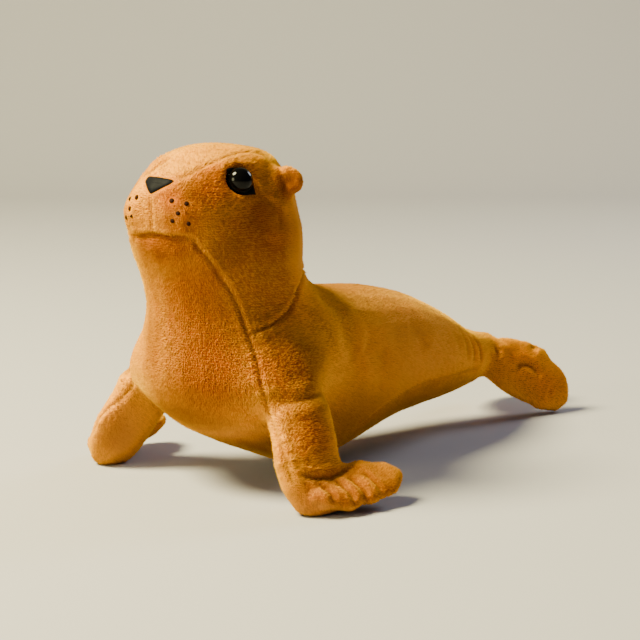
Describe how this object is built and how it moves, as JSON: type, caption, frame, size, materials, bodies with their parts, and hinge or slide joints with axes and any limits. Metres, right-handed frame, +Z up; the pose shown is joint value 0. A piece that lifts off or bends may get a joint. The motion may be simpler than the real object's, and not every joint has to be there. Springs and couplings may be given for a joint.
{
  "type": "plush toy sea lion",
  "caption": "Stuffed short-pile plush sea lion, head raised, propped on its fore flippers, with black eyes and stitched nose",
  "frame": {"origin": "on the floor under the middle of the toy's length and width", "axes": "+Z up; the nose points along -X and the hind flippers along +X; the toy's left side is -Y"},
  "size_m": [0.358, 0.2178, 0.1948],
  "materials": {
    "plush": "short velvety pile, golden tan",
    "eye": "glossy domed black plastic",
    "felt": "matt black embroidery backing",
    "embroidery": "satin-stitched black thread"
  },
  "bodies": {
    "root": {"head": "plush", "neck": "plush", "chest": "plush", "trunk": "plush", "tail": "plush", "hind_flipper_left": "plush", "hind_flipper_right": "plush", "fore_flipper_left": "plush", "fore_flipper_right": "plush", "ear_left": "plush", "ear_right": "plush", "eye_left": "eye", "eye_right": "eye", "eye_patch_left": "felt", "eye_patch_right": "felt", "nose": "embroidery", "whisker_spot_left_1": "embroidery", "whisker_spot_left_2": "embroidery", "whisker_spot_left_3": "embroidery", "whisker_spot_left_4": "embroidery", "whisker_spot_left_5": "embroidery", "whisker_spot_right_1": "embroidery", "whisker_spot_right_2": "embroidery", "whisker_spot_right_3": "embroidery", "whisker_spot_right_4": "embroidery", "whisker_spot_right_5": "embroidery"}
  },
  "joints": []
}
